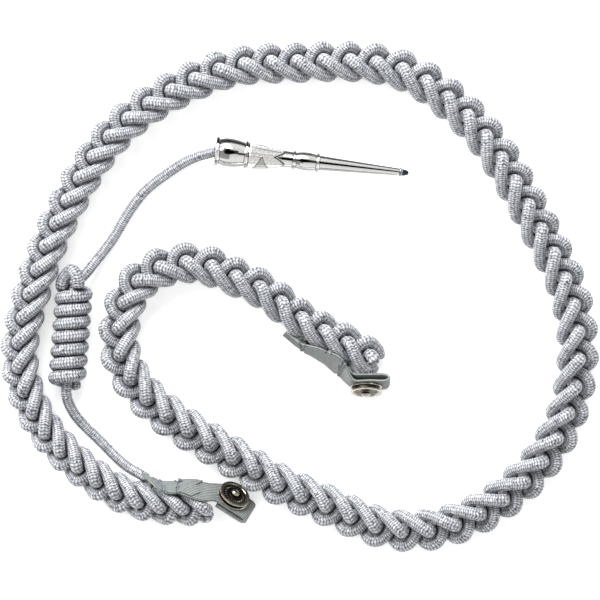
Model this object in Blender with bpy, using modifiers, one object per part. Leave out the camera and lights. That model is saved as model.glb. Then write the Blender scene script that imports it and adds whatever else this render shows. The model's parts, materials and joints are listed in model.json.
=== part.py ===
# An aiguillette lying flat: a long three-strand plait laid in a spiral, a lead cord with a
# wrapped barrel knot, a turned metal tip on the cord's end, and a cloth tab with a snap at
# each end of the plait.
import math

import bpy
import bmesh
import numpy as np
from mathutils import Matrix, Vector

MM = 0.001
ORIGIN = Vector((-0.64, -0.18, 0.0)) * MM  # middle of the whole outline, in the tables' axes

# Plait
STRAND_DIAMETER = 4.5 * MM
STRAND_STEPS = 8  # points along one whole wave of a strand
STRAND_FIRST = 0.5  # where in its step the first point of a wave sits
HALF_WIDTH = 5.2 * MM  # how far a strand swings across the plait
HALF_DEPTH = 3.6 * MM  # how far it weaves over and under
SHOULDER = 0.1 * MM  # squares the swing a little
DEPTH_LEAN = 0.3 * MM
CROSS_SLIDE = 1.6 * MM  # lets the strands cross more steeply
PLAIT_ROLL = math.radians(45)  # the plait lies on one of its lower corners
PLAIT_AXIS_HEIGHT = 7.59 * MM
ARCH_START = 0.35  # how much of an arch the plait's outer end has cut off

# Columns: share of the plait's length, millimetres from arch to arch, swing against HALF_WIDTH
PLAIT_PITCH = (
    (0.00, 9.0, 0.97),
    (0.08, 9.2, 0.97),
    (0.16, 9.9, 0.96),
    (0.30, 10.3, 1.00),
    (0.50, 10.8, 1.08),
    (0.62, 10.8, 1.10),
    (0.75, 10.3, 1.07),
    (1.00, 10.3, 1.00),
)

# The plait's middle, clockwise from its outer end, in millimetres
PLAIT_ROUTE = (
    (-37.5, -83.5), (-54.5, -83.0), (-69.5, -79.0), (-84.0, -70.0), (-99.5, -55.0), (-109.0, -36.5),
    (-111.0, -26.0), (-107.5, -3.0), (-100.0, 19.5), (-90.5, 39.5), (-80.0, 56.5), (-64.0, 72.5),
    (-46.0, 83.0), (-25.5, 90.5), (-3.5, 92.0), (19.5, 92.5), (41.5, 88.5), (59.0, 77.0),
    (73.5, 62.0), (85.0, 44.0), (95.5, 24.5), (105.5, 3.0), (108.5, -9.0), (109.0, -30.0),
    (103.5, -51.0), (91.5, -69.5), (74.0, -84.0), (53.5, -92.0), (32.0, -91.5), (12.0, -83.5),
    (-7.5, -75.0), (-25.5, -64.5), (-43.5, -53.5), (-59.5, -41.5), (-71.0, -23.0), (-71.5, -13.0),
    (-69.5, -3.5), (-64.0, 5.5), (-55.0, 11.0), (-45.5, 13.0), (-35.5, 11.5), (-26.0, 7.5),
    (-17.0, 3.5), (0.0, -9.0), (18.5, -19.0), (29.5, -25.5),
)

# Lead cord, from the plait's outer end through the knot to the tip
LEAD_DIAMETER = 4.2 * MM
LEAD_STEP = 2 * LEAD_DIAMETER
LEAD_ROUTE = (
    (-60.3, -72.5, 7.8), (-62.8, -70.9, 7.0), (-65.8, -69.3, 5.5), (-70.5, -66.2, 3.6),
    (-76.4, -60.6, 2.5), (-82.4, -54.7, 2.2), (-88.0, -49.0, 3.0), (-91.4, -43.4, 5.0),
    (-92.6, -38.5, 6.8), (-92.4, -34.6, 7.3), (-92.0, -30.2, 7.3), (-91.4, -21.5, 7.3),
    (-90.9, -13.6, 7.3), (-90.3, -5.7, 7.3), (-89.8, 1.8, 7.3), (-88.7, 4.5, 7.0),
    (-85.5, 8.1, 6.1), (-82.4, 12.0, 4.6), (-78.4, 17.2, 3.0), (-74.1, 23.1, 2.3),
    (-69.7, 30.6, 2.2), (-65.8, 36.5, 2.2), (-60.6, 42.5, 2.2), (-54.3, 47.4, 2.2),
    (-47.6, 51.9, 2.4), (-40.9, 55.1, 3.4), (-35.7, 56.5, 4.9), (-33.0, 57.1, 5.6),
    (-29.4, 56.7, 5.6),
)

# Barrel knot: the wrap winds down the lead cord from a small loop on top
WRAP_DIAMETER = 4.7 * MM
WRAP_RADIUS = 5.0 * MM  # middle of the wrap about the lead cord's middle
WRAP_TURNS = 7 + 1 / 3
WRAP_STEPS = 9  # points in one turn
KNOT_FOOT = Vector((-92.3, -35.4, 7.3)) * MM
KNOT_HEAD = Vector((-89.85, 1.6, 7.3)) * MM
KNOT_LOOP = (  # from the loop's free end, over the cord, down to the first turn
    (-86.4, 3.6, 11.8), (-87.2, 7.6, 12.2), (-88.9, 10.2, 11.0), (-91.5, 10.3, 8.8),
    (-94.6, 7.2, 8.0),
)
KNOT_STUB = ((-88.7, -38.0, 3.2),)  # where the last turn ends

# Metal tip, along its axis from the mouth
TIP_MOUTH = Vector((-32.6, 57.1, 6.15)) * MM
TIP_POINT = Vector((42.9, 48.6, 1.86)) * MM
TIP_SIDES = 16
TIP_BORE = 2.5
MOUTH_RADIUS = 4.2
MOUTH_DEPTH = 4.5
CORD_SEAT = 5.6
# Columns: millimetres from the mouth, radius
TIP_PROFILE = (
    (0.0, 5.0), (0.5, 5.7), (1.3, 5.7), (1.8, 5.1), (5.5, 5.65), (8.7, 5.35), (11.4, 4.75),
    (11.9, 5.45), (12.7, 5.45), (13.1, 4.8), (15.6, 4.55), (18.1, 4.25), (20.6, 3.95),
    (23.1, 3.6), (25.6, 3.4), (30.4, 3.25), (30.7, 3.65), (31.4, 3.65), (31.7, 3.2),
    (36.0, 3.65), (39.6, 3.3), (39.8, 3.8), (40.5, 3.8), (40.8, 2.95), (72.2, 1.4),
    (72.4, 1.85), (73.1, 1.85),
)
POINT_PROFILE = ((73.4, 1.4), (75.6, 0.85), (75.9, 0.6))
LEAF_COUNT = 4
LEAF_FROM = 13.1
LEAF_HEIGHT = 0.55
LEAF_REACH = 12.4  # a leaf's length along its middle
LEAF_NOTCH = 3.6  # how far along two leaves part

# Snaps. Columns: name, middle of the face, heading of the tab in degrees, lean of the face
SNAPS = (
    ("snap_outer", Vector((-25.8, -78.2, 9.1)) * MM, -32.7, 52.0),
    ("snap_inner", Vector((25.8, -38.5, 7.9)) * MM, 0.0, -72.0),
)
SNAP_SIDES = 16
# Columns: radius, height above the face, from the recess's middle outwards and down the back
SNAP_PROFILE = (
    (0.0, -0.45), (5.2, -0.45), (5.5, 0.0), (6.3, 0.0), (6.4, -0.6), (5.3, -0.9), (5.3, -1.7),
    (6.3, -1.9), (6.3, -2.5), (0.0, -2.5),
)
STUD_PROFILE = ((0.0, 1.5), (1.1, 1.5), (1.75, 0.7), (1.5, -0.15), (0.0, -0.15))

# Tabs
TAPE_THICKNESS = 1.1 * MM
TAPE_HALF = 5.7 * MM
TAPE_BEHIND = 3.45 * MM  # from a snap's face to the middle of the tape's first layer
TAPE_LOOP = 2.6 * MM  # between the middles of the tape's two layers
TAPE_STEPS = 2  # faces between two rows
# Rows of a tab from the plait to its snap. Columns: x, y, z of each edge, in millimetres
TAB_OUTER = (
    ((-62.6, -69.9, 11.0), (-59.6, -72.8, 13.3)),
    ((-56.5, -72.9, 8.6), (-53.7, -77.3, 15.5)),
    ((-49.0, -73.5, 5.6), (-48.6, -77.6, 15.9)),
    ((-41.9, -73.3, 4.9), (-44.2, -78.9, 16.2)),
    ((-36.6, -74.4, 4.3), (-37.8, -80.7, 15.6)),
)
TAB_INNER = (
    ((-5.8, -14.3, 10.4), (-7.0, -15.5, 7.4)),
    ((0.1, -18.7, 11.6), (-0.3, -20.9, 6.0)),
    ((5.3, -20.2, 13.2), (4.1, -23.1, 4.0)),
    ((10.9, -22.1, 13.9), (9.7, -26.8, 2.5)),
    ((15.4, -24.3, 14.4), (13.6, -30.0, 1.5)),
    ((18.2, -28.0, 13.7), (16.2, -32.6, 1.3)),
)
TAB_ROWS = {"snap_outer": TAB_OUTER, "snap_inner": TAB_INNER}

CORD_GREY = (0.46, 0.47, 0.52, 1.0)
TAPE_GREY = (0.36, 0.39, 0.38, 1.0)
NICKEL = (0.78, 0.77, 0.75, 1.0)
GUNMETAL = (0.22, 0.21, 0.19, 1.0)
BLUED = (0.05, 0.07, 0.11, 1.0)


def clear_scene():
    for obj in list(bpy.data.objects):
        bpy.data.objects.remove(obj, do_unlink=True)


def new_collection(name):
    collection = bpy.data.collections.new(name)
    bpy.context.scene.collection.children.link(collection)
    return collection


def make_material(name, colour, roughness, metallic):
    material = bpy.data.materials.new(name)
    material.use_nodes = True
    shader = material.node_tree.nodes["Principled BSDF"]
    shader.inputs["Base Color"].default_value = colour
    shader.inputs["Roughness"].default_value = roughness
    shader.inputs["Metallic"].default_value = metallic
    return material


def natural_spline(knots, values, where):
    """Reads a natural cubic spline through (knots, values) at each place in where."""
    knots = np.asarray(knots, float)
    values = np.asarray(values, float)
    count = len(knots)
    gap = np.diff(knots)
    slope = np.diff(values, axis=0) / gap[:, None]
    system = np.eye(count)
    rates = np.zeros_like(values)
    for i in range(1, count - 1):
        system[i, i - 1 : i + 2] = gap[i - 1], 2 * (gap[i - 1] + gap[i]), gap[i]
        rates[i] = 6 * (slope[i] - slope[i - 1])
    bend = np.linalg.solve(system, rates)
    i = np.clip(np.searchsorted(knots, where, side="right") - 1, 0, count - 2)
    width = gap[i][:, None]
    ahead = (np.asarray(where)[:, None] - knots[i][:, None]) / width
    back = 1 - ahead
    curve = (back**3 - back) * bend[i] + (ahead**3 - ahead) * bend[i + 1]
    return back * values[i] + ahead * values[i + 1] + curve * width**2 / 6


def smooth_route(points, step):
    """Evenly spaced points, step apart, on a smooth curve through the route's own points."""
    points = np.asarray(points, float)
    knots = np.append(0, np.cumsum(np.linalg.norm(np.diff(points, axis=0), axis=1)))
    fine = natural_spline(knots, points, np.linspace(0, knots[-1], 40 * len(points)))
    along = np.append(0, np.cumsum(np.linalg.norm(np.diff(fine, axis=0), axis=1)))
    places = np.linspace(0, along[-1], max(2, round(along[-1] / step) + 1))
    columns = [np.interp(places, along, fine[:, k]) for k in range(points.shape[1])]
    return places, np.stack(columns, axis=1)


class PlaitLine:
    """The plait's middle line, and the count of arches along it."""

    def __init__(self):
        self.along, self.middle = smooth_route(np.array(PLAIT_ROUTE) * MM, 0.5 * MM)
        heading = np.gradient(self.middle, self.along, axis=0)
        self.heading = heading / np.linalg.norm(heading, axis=1)[:, None]
        share, pitch, swing = np.array(PLAIT_PITCH).T
        places = self.along / self.along[-1]
        rate = 1 / (np.interp(places, share, pitch) * MM)
        gained = np.diff(self.along) * (rate[1:] + rate[:-1]) / 2
        self.arches = ARCH_START + np.append(0, np.cumsum(gained))
        self.swing = np.interp(places, share, swing)

    def read(self, places, table):
        if table.ndim == 1:
            return np.interp(places, self.along, table)
        return np.stack([np.interp(places, self.along, column) for column in table.T], axis=1)


def strand_points(line, number):
    """A strand's points: a wave across the plait that dips twice under its neighbours."""
    whole = 2 * math.pi
    step = whole / STRAND_STEPS
    first = math.ceil((line.arches[0] + number) * STRAND_STEPS / 3 - STRAND_FIRST)
    last = math.floor((line.arches[-1] + number) * STRAND_STEPS / 3 - STRAND_FIRST)
    phase = (np.arange(first, last + 1) + STRAND_FIRST) * step
    count = phase / whole * 3 - number
    places = np.interp(count, line.arches, line.along)
    swing = line.read(places, line.swing)
    places = np.clip(places + CROSS_SLIDE * np.sin(2 * phase), 0, line.along[-1])
    across = HALF_WIDTH * swing * np.cos(phase) + SHOULDER * np.cos(3 * phase)
    deep = DEPTH_LEAN * np.sin(4 * phase) - HALF_DEPTH * np.sin(2 * phase)
    outward = deep * math.sin(PLAIT_ROLL) - across * math.cos(PLAIT_ROLL)
    upward = across * math.sin(PLAIT_ROLL) + deep * math.cos(PLAIT_ROLL)
    heading = line.read(places, line.heading)
    left = np.stack([-heading[:, 1], heading[:, 0]], axis=1)
    plan = line.read(places, line.middle) + left * outward[:, None]
    return np.column_stack([plan, PLAIT_AXIS_HEIGHT + upward])


def tube(name, points, diameter, resolution, material, collection):
    """A round cord through the points, closed at both ends."""
    curve = bpy.data.curves.new(name, "CURVE")
    curve.dimensions = "3D"
    curve.bevel_depth = diameter / 2
    curve.bevel_resolution = resolution
    curve.use_fill_caps = True
    spline = curve.splines.new("POLY")
    spline.points.add(len(points) - 1)
    for point, place in zip(spline.points, points):
        point.co = (*place, 1.0)
    curve.materials.append(material)
    obj = bpy.data.objects.new(name, curve)
    collection.objects.link(obj)
    return obj


def turned(name, profile, sides, material, collection):
    """A profile of (radius, height) rows, top first, turned about local Z."""
    mesh = bpy.data.meshes.new(name)
    edges = [(i, i + 1) for i in range(len(profile) - 1)]
    mesh.from_pydata([(radius * MM, 0, height * MM) for radius, height in profile], edges, [])
    mesh.materials.append(material)
    obj = bpy.data.objects.new(name, mesh)
    collection.objects.link(obj)
    screw = obj.modifiers.new("Screw", "SCREW")
    screw.steps = screw.render_steps = sides
    screw.use_merge_vertices = True
    screw.merge_threshold = 0.00001
    return obj


def made_solid(obj):
    """The object with its modifiers worked into its mesh."""
    graph = bpy.context.evaluated_depsgraph_get()
    mesh = bpy.data.meshes.new_from_object(obj.evaluated_get(graph))
    obj.modifiers.clear()
    obj.data = mesh
    return obj


def aim(place, direction):
    """A matrix that stands local Z along direction at place."""
    return Matrix.Translation(place) @ direction.to_track_quat("Z", "Y").to_matrix().to_4x4()


def wrap_points():
    """The knot's wrap: its top loop, then the turns down the lead cord, then its stub."""
    axis = KNOT_HEAD - KNOT_FOOT
    side = Vector((axis.y, -axis.x, 0)).normalized()
    up = Vector((0, 0, 1))
    points = [Vector(place) * MM for place in KNOT_LOOP]
    for i in range(round(WRAP_TURNS * WRAP_STEPS) + 1):
        turn = i / WRAP_STEPS
        angle = math.pi + 2 * math.pi * turn
        middle = KNOT_HEAD - axis * turn / WRAP_TURNS
        points.append(middle + WRAP_RADIUS * (side * math.cos(angle) + up * math.sin(angle)))
    points.extend(Vector(place) * MM for place in KNOT_STUB)
    return points


def leaf_raise(distance, angle):
    """How far a leaf stands off the tip, at a distance from the mouth and an angle round it."""
    aside = abs((angle * LEAF_COUNT / (2 * math.pi) + 0.5) % 1 - 0.5) * 2
    reach = LEAF_NOTCH + (LEAF_REACH - LEAF_NOTCH) * math.sqrt(max(0, 1 - aside))
    share = (distance - LEAF_FROM) / reach
    if share < 0.01 or share > 0.95:
        return 0.0
    return LEAF_HEIGHT * (1 - 0.4 * aside)


def make_tip(collection, nickel, blued):
    back = (TIP_MOUTH - TIP_POINT).normalized()
    bore = [(0.0, -CORD_SEAT - 1), (TIP_BORE, -CORD_SEAT - 1), (TIP_BORE, -MOUTH_DEPTH),
            (MOUTH_RADIUS, -0.6), (4.6, 0.0)]
    outside = [(radius, -distance) for distance, radius in TIP_PROFILE]
    body = turned("tip_body", bore + outside + [(0.0, outside[-1][1])], TIP_SIDES, nickel, collection)
    made_solid(body)
    for vertex in body.data.vertices:
        distance = -vertex.co.z / MM
        if math.hypot(vertex.co.x, vertex.co.y) < TIP_BORE * MM * 1.05:
            continue
        flat = Vector((vertex.co.x, vertex.co.y, 0)).normalized()
        angle = math.atan2(flat.y, flat.x)
        vertex.co += flat * leaf_raise(distance, angle) * MM
    body.matrix_world = aim(TIP_MOUTH, back)
    cone = [(radius, -distance) for distance, radius in POINT_PROFILE]
    point = turned(
        "tip_point", [(0.0, cone[0][1])] + cone + [(0.0, cone[-1][1])], TIP_SIDES // 2, blued, collection
    )
    point.matrix_world = aim(TIP_MOUTH, back)


def snap_frame(heading, lean):
    """The directions along the tab, across it and out of a snap's face."""
    heading, lean = math.radians(heading), math.radians(lean)
    along = Vector((math.cos(heading), math.sin(heading), 0))
    left = Vector((-along.y, along.x, 0))
    out = left * math.sin(lean) + Vector((0, 0, math.cos(lean)))
    return along, out.cross(along), out


def make_snap(name, place, heading, lean, gunmetal, collection):
    along, across, out = snap_frame(heading, lean)
    matrix = Matrix.Translation(place) @ Matrix((along, across, out)).transposed().to_4x4()
    body = turned(name + "_body", SNAP_PROFILE, SNAP_SIDES, gunmetal, collection)
    body.matrix_world = matrix
    stud = turned(name + "_stud", STUD_PROFILE, SNAP_SIDES // 2, gunmetal, collection)
    stud.matrix_world = matrix


def tab_rows(name, place, heading, lean):
    """Both edges of a tab, from the plait, behind its snap, round the end and back."""
    along, across, out = snap_frame(heading, lean)
    rows = [(Vector(a) * MM, Vector(b) * MM) for a, b in TAB_ROWS[name]]
    first = TAPE_BEHIND
    second = TAPE_BEHIND + TAPE_LOOP
    # Columns: millimetres past the snap's middle, depth behind its face
    for past, depth in (
        (-5.0, first + 0.5 * MM), (0.0, first + 0.1 * MM), (6.0, first), (8.4, first + 0.4 * MM),
        (9.2, (first + second) / 2), (8.4, second - 0.4 * MM), (6.0, second), (0.0, second),
        (-4.0, second),
    ):
        middle = place + along * past * MM - out * depth
        rows.append((middle + across * TAPE_HALF, middle - across * TAPE_HALF))
    return rows


def make_tab(name, rows, material, collection):
    """A woven tape lofted through the rows, then given its thickness."""
    table = np.array([[*a, *b] for a, b in rows])
    count = TAPE_STEPS * (len(rows) - 1) + 1
    fine = natural_spline(range(len(rows)), table, np.linspace(0, len(rows) - 1, count))
    work = bmesh.new()
    edges = [[work.verts.new(row[:3]), work.verts.new(row[3:])] for row in fine]
    for (a, b), (c, d) in zip(edges, edges[1:]):
        work.faces.new((a, c, d, b))
    bmesh.ops.recalc_face_normals(work, faces=work.faces)
    mesh = bpy.data.meshes.new(name)
    work.to_mesh(mesh)
    work.free()
    mesh.materials.append(material)
    obj = bpy.data.objects.new(name, mesh)
    collection.objects.link(obj)
    solidify = obj.modifiers.new("Solidify", "SOLIDIFY")
    solidify.thickness = TAPE_THICKNESS
    solidify.offset = 0
    solidify.use_even_offset = True
    return obj


def main():
    clear_scene()
    collection = new_collection("aiguillette")
    cord = make_material("cord", CORD_GREY, 0.55, 0.35)
    tape = make_material("tape", TAPE_GREY, 0.8, 0.0)
    nickel = make_material("nickel", NICKEL, 0.15, 1.0)
    gunmetal = make_material("gunmetal", GUNMETAL, 0.3, 1.0)
    blued = make_material("blued", BLUED, 0.25, 1.0)

    line = PlaitLine()
    for number in range(3):
        points = strand_points(line, number)
        tube(f"plait_strand_{number + 1}", points, STRAND_DIAMETER, 1, cord, collection)

    lead = smooth_route(np.array(LEAD_ROUTE) * MM, LEAD_STEP)[1]
    lead[:, 2] = np.maximum(lead[:, 2], LEAD_DIAMETER / 2 + 0.05 * MM)
    tube("lead_cord", lead, LEAD_DIAMETER, 2, cord, collection)
    tube("knot_wrap", wrap_points(), WRAP_DIAMETER, 2, cord, collection)
    make_tip(collection, nickel, blued)
    for name, place, heading, lean in SNAPS:
        make_snap(name, place, heading, lean, gunmetal, collection)
        rows = tab_rows(name, place, heading, lean)
        make_tab(name.replace("snap", "tab"), rows, tape, collection)
    for obj in collection.objects:
        obj.location -= ORIGIN


main()
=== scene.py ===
import json
import math

import bmesh
import bpy
import numpy as np
from mathutils import Matrix, Vector
from mathutils.kdtree import KDTree

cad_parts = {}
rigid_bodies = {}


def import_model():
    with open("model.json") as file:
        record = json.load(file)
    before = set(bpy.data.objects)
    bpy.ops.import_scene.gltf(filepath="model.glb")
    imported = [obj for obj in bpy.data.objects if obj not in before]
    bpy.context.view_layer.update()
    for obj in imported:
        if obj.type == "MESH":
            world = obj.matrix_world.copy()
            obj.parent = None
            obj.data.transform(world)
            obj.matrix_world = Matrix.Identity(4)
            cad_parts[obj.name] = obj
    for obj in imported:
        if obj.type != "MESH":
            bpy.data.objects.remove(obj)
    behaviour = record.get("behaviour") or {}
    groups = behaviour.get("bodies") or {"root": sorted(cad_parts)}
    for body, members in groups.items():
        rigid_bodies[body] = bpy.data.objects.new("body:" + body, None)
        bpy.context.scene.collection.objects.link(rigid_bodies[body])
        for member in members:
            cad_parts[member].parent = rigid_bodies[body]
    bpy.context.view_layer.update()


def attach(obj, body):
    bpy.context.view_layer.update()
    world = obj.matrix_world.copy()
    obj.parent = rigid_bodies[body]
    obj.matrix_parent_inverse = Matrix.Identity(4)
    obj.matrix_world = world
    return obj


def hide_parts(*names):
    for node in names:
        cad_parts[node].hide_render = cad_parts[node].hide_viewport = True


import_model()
mm = 0.001
shift = np.array((0.64, 0.18, 0.0))  # from the route tables' axes to the row frame, millimetres

cameraSettings = {"height": 1.408, "lens": 212.66, "sensor": 36, "aim": (0.00044, -0.0016), "far": 20}
cameraData = bpy.data.cameras.new("camera")
cameraData.sensor_width = cameraSettings["sensor"]
cameraData.lens = cameraSettings["lens"]
cameraData.clip_end = cameraSettings["far"]
camera = bpy.data.objects.new("camera", cameraData)
camera.location = (*cameraSettings["aim"], cameraSettings["height"])
bpy.context.scene.collection.objects.link(camera)
bpy.context.scene.camera = camera
print("camera placed")


def naturalSpline(knots, values, where):
    knots, values = np.asarray(knots, float), np.asarray(values, float)
    count, gap = len(knots), np.diff(knots)
    slope = np.diff(values, axis=0) / gap[:, None]
    system, rates = np.eye(count), np.zeros_like(values)
    for i in range(1, count - 1):
        system[i, i - 1 : i + 2] = gap[i - 1], 2 * (gap[i - 1] + gap[i]), gap[i]
        rates[i] = 6 * (slope[i] - slope[i - 1])
    bend = np.linalg.solve(system, rates)
    i = np.clip(np.searchsorted(knots, where, side="right") - 1, 0, count - 2)
    width = gap[i][:, None]
    ahead = (np.asarray(where)[:, None] - knots[i][:, None]) / width
    back = 1 - ahead
    curve = (back**3 - back) * bend[i] + (ahead**3 - ahead) * bend[i + 1]
    return back * values[i] + ahead * values[i + 1] + curve * width**2 / 6


def lengthAlong(points):
    return np.append(0, np.cumsum(np.linalg.norm(np.diff(points, axis=0), axis=1)))


def smoothRoute(points, step):
    points = np.asarray(points, float)
    knots = lengthAlong(points)
    fine = naturalSpline(knots, points, np.linspace(0, knots[-1], 40 * len(points)))
    along = lengthAlong(fine)
    places = np.linspace(0, along[-1], max(2, round(along[-1] / step) + 1))
    return np.stack([np.interp(places, along, column) for column in fine.T], axis=1)


def nodeMaterial(name):
    material = bpy.data.materials.new(name)
    material.use_nodes = True
    tree = material.node_tree
    return material, tree, tree.nodes["Principled BSDF"]


def mathNode(tree, kind, first, second=None, third=None):
    node = tree.nodes.new("ShaderNodeMath")
    node.operation = kind
    for socket, value in zip(node.inputs, (first, second, third)):
        if value is None:
            continue
        if isinstance(value, (int, float)):
            socket.default_value = value
        else:
            tree.links.new(value, socket)
    return node.outputs[0]


def rampNode(tree, value, stops):
    node = tree.nodes.new("ShaderNodeValToRGB")
    ramp = node.color_ramp.elements
    while len(ramp) < len(stops):
        ramp.new(0.5)
    for element, (place, colour) in zip(ramp, stops):
        element.position = place
        element.color = (*colour, 1)
    tree.links.new(value, node.inputs[0])
    return node.outputs[0]


def mixNode(tree, kind, share, first, second):
    node = tree.nodes.new("ShaderNodeMix")
    node.data_type = "RGBA"
    node.blend_type = kind
    for socket, value in ((node.inputs[0], share), (node.inputs[6], first), (node.inputs[7], second)):
        if isinstance(value, (int, float)):
            socket.default_value = value
        elif isinstance(value, tuple):
            socket.default_value = (*value, 1)
        else:
            tree.links.new(value, socket)
    return node.outputs[2]


def greyNode(tree, value):
    grey = tree.nodes.new("ShaderNodeCombineColor")
    for socket in grey.inputs:
        tree.links.new(value, socket)
    return grey.outputs[0]


def weaveCoordinates(tree):
    uv = tree.nodes.new("ShaderNodeUVMap")
    uv.uv_map = "weave"
    parts = tree.nodes.new("ShaderNodeSeparateXYZ")
    tree.links.new(uv.outputs[0], parts.inputs[0])
    return parts.outputs[0], parts.outputs[1]


def cellNoise(tree, first, second, seed):
    cells = tree.nodes.new("ShaderNodeCombineXYZ")
    tree.links.new(mathNode(tree, "FLOOR", first), cells.inputs[0])
    tree.links.new(mathNode(tree, "FLOOR", second), cells.inputs[1])
    cells.inputs[2].default_value = seed
    noise = tree.nodes.new("ShaderNodeTexWhiteNoise")
    noise.noise_dimensions = "3D"
    tree.links.new(cells.outputs[0], noise.inputs["Vector"])
    return noise.outputs["Value"]


# 0 at whole numbers and 1 half-way between them
def crown(tree, value):
    return mathNode(tree, "MULTIPLY", mathNode(tree, "PINGPONG", value, 0.5), 2.0)


def bumpInto(tree, shader, height, strength, distance):
    bump = tree.nodes.new("ShaderNodeBump")
    bump.inputs["Strength"].default_value = strength
    bump.inputs["Distance"].default_value = distance
    tree.links.new(height, bump.inputs["Height"])
    tree.links.new(bump.outputs[0], shader.inputs["Normal"])


cordFinish = {
    "tones": ((0.03, (0.14, 0.145, 0.185)), (0.15, (0.50, 0.52, 0.57)), (0.82, (0.64, 0.66, 0.71)),
              (0.93, (1.0, 1.0, 1.0))),
    "ribDark": 0.08, "columnDark": 0.30, "creviceDark": 0.0, "creviceReach": 1.1 * mm,
    "roughness": 0.42, "seed": 3.0, "bump": 0.5, "depth": 0.00012,
}


def cordMaterial(name, finish):
    material, tree, shader = nodeMaterial(name)
    across, along = weaveCoordinates(tree)
    yarn = cellNoise(tree, mathNode(tree, "MULTIPLY", across, 2.0), mathNode(tree, "MULTIPLY", along, 2.0),
                     finish["seed"])
    tone = rampNode(tree, yarn, finish["tones"])
    rib, column = crown(tree, along), crown(tree, across)
    # the rib valleys and the column borders are darkened as painted shade in the weave's grooves
    ribShade = mathNode(tree, "MULTIPLY_ADD", mathNode(tree, "POWER", rib, 0.75),
                        1 - finish["ribDark"], finish["ribDark"])
    columnShade = mathNode(tree, "MULTIPLY_ADD", mathNode(tree, "POWER", column, 0.5),
                           1 - finish["columnDark"], finish["columnDark"])
    # crevices against other turns and cords are darkened from the "clear" value, as painted shade
    clear = tree.nodes.new("ShaderNodeAttribute")
    clear.attribute_name = "clear"
    crevice = mathNode(tree, "MULTIPLY_ADD", clear.outputs["Fac"], 1 - finish["creviceDark"],
                       finish["creviceDark"])
    shade = mathNode(tree, "MULTIPLY", mathNode(tree, "MULTIPLY", ribShade, columnShade), crevice)
    colour = mixNode(tree, "MULTIPLY", 1.0, tone, greyNode(tree, shade))
    tree.links.new(colour, shader.inputs["Base Color"])
    shader.inputs["Roughness"].default_value = finish["roughness"]
    thread = crown(tree, mathNode(tree, "MULTIPLY", across, 4.0))
    height = mathNode(tree, "MULTIPLY_ADD", thread, 0.3, mathNode(tree, "ADD", rib, column))
    bumpInto(tree, shader, height, finish["bump"], finish["depth"])
    return material


# A direction across the line at each point, turning with it no more than it must.
def pathFrames(line):
    ahead = np.gradient(line, axis=0)
    ahead /= np.linalg.norm(ahead, axis=1)[:, None]
    side = np.zeros_like(line)
    first = np.cross(ahead[0], (0, 0, 1.0))
    side[0] = first / np.linalg.norm(first)
    for i in range(1, len(line)):
        turned = side[i - 1] - ahead[i] * (side[i - 1] @ ahead[i])
        side[i] = turned / np.linalg.norm(turned)
    return ahead, side, np.cross(ahead, side)


def meshObject(name, vertices, faces, material, smooth=True):
    mesh = bpy.data.meshes.new(name)
    mesh.from_pydata(vertices, [], faces)
    mesh.update()
    mesh.polygons.foreach_set("use_smooth", np.full(len(mesh.polygons), smooth))
    mesh.materials.append(material)
    obj = bpy.data.objects.new(name, mesh)
    bpy.context.scene.collection.objects.link(obj)
    return obj


def turnOutwards(obj, angle=None):
    work = bmesh.new()
    work.from_mesh(obj.data)
    bmesh.ops.recalc_face_normals(work, faces=work.faces)
    work.to_mesh(obj.data)
    work.free()
    if angle:
        obj.data.set_sharp_from_angle(angle=math.radians(angle))


def dress(obj, node=None):
    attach(obj, "root")
    if node:
        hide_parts(node)


braidedLines = []


# How clear of its neighbours each point of a braid lies: 0 where it is pressed against another
# turn or cord, 1 where it is further off than reach. The crevices get painted shade from it.
def markCrevices(obj, name, settings, reach):
    tree = KDTree(sum(len(line) for _, line, _ in braidedLines))
    owners, places, radii, spots = [], [], [], []
    for owner, line, radius in braidedLines:
        owners += [owner == name] * len(line)
        places += lengthAlong(line).tolist()
        radii += [radius] * len(line)
        spots += line.tolist()
    for i, spot in enumerate(spots):
        tree.insert(spot, i)
    tree.balance()
    owners, places, radii, spots = (np.array(table) for table in (owners, places, radii, spots))
    own = np.nonzero(owners)[0]
    sides, radius = 2 * settings["columns"], settings["radius"]
    points = np.empty(len(obj.data.vertices) * 3, np.float32)
    obj.data.vertices.foreach_get("co", points)
    points = points.reshape(-1, 3)
    rings = (len(points) - 2) // sides
    clear = np.ones(len(points))
    for i in range(rings):
        ring = points[i * sides : (i + 1) * sides]
        middle = ring.mean(axis=0)
        found = np.array([index for _, index, _ in tree.find_range(middle, 2 * radius + reach)], int)
        here = places[own[0]] + places[own[-1]] * i / (rings - 1)
        found = found[~owners[found] | (np.abs(places[found] - here) > 3 * radius)]
        if len(found):
            off = np.linalg.norm(ring[:, None] - spots[found][None], axis=2) - radii[found][None]
            clear[i * sides : (i + 1) * sides] = np.clip(off.min(axis=1) / reach, 0, 1)
    layer = obj.data.attributes.new("clear", "FLOAT", "POINT")
    layer.data.foreach_set("value", clear.astype(np.float32))


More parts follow.
